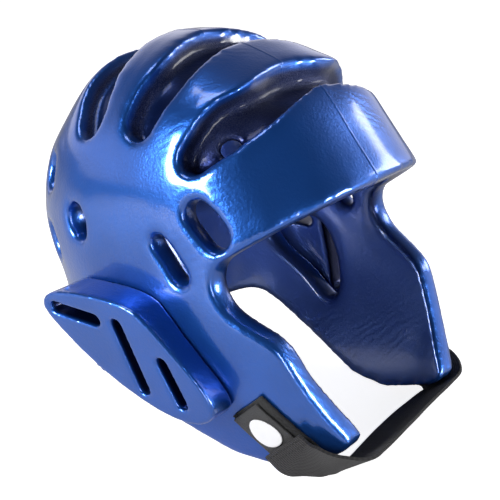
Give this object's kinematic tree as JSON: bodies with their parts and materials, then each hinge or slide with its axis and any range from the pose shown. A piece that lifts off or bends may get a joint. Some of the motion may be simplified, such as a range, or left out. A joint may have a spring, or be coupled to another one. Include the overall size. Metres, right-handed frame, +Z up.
{
  "type": "sparring headgear",
  "caption": "Open-face foam sparring headgear with ribbed crown, slotted ear pads and an elastic chin strap fastened by hook and loop.",
  "frame": {"origin": "middle of the bounding box's underside, on the floor", "axes": "X across the wearer's head, -Y ahead of the face, +Z up; the headgear is tilted back as it rests"},
  "size_m": [0.2344, 0.269, 0.2263],
  "materials": {
    "dipped_foam": "glossy dipped vinyl skin over foam",
    "loop_fabric": "fuzzy loop pile",
    "black_tape": "flat woven tape",
    "white_patch": "matte, bare",
    "elastic": "woven elastic webbing"
  },
  "bodies": {
    "root": {"shell": "dipped_foam", "ear_pad_right": "dipped_foam", "ear_pad_left": "dipped_foam", "loop_patch_right": "loop_fabric", "loop_patch_left": "loop_fabric", "hook_tab": "black_tape", "badge": "white_patch", "chin_strap": "elastic"}
  },
  "joints": []
}
